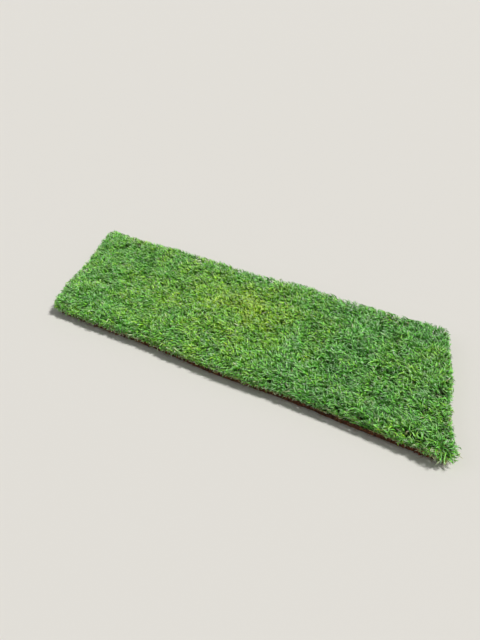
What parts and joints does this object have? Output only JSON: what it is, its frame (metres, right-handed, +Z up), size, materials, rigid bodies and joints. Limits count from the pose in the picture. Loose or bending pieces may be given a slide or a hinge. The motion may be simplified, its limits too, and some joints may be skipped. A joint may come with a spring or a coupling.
{
  "type": "turf strip",
  "caption": "Strip of lawn turf lying unrolled: dense green grass on a thin mat of red-brown soil and roots, cut square at the sides and slanting at the ends.",
  "frame": {"origin": "on the ground, under the middle of the strip's box", "axes": "+X along the strip to its right end as seen from the front, +Y across it to the back edge, +Z up out of the grass"},
  "size_m": [1.6029, 0.5263, 0.066],
  "materials": {
    "soil": "crumbly red-brown soil, dull, laced with pale roots",
    "grass": "soft mown grass, mid to blue green with yellow-green and straw blades"
  },
  "bodies": {
    "root": {"soil_mat": "soil", "grass_sward": "grass"}
  },
  "joints": []
}
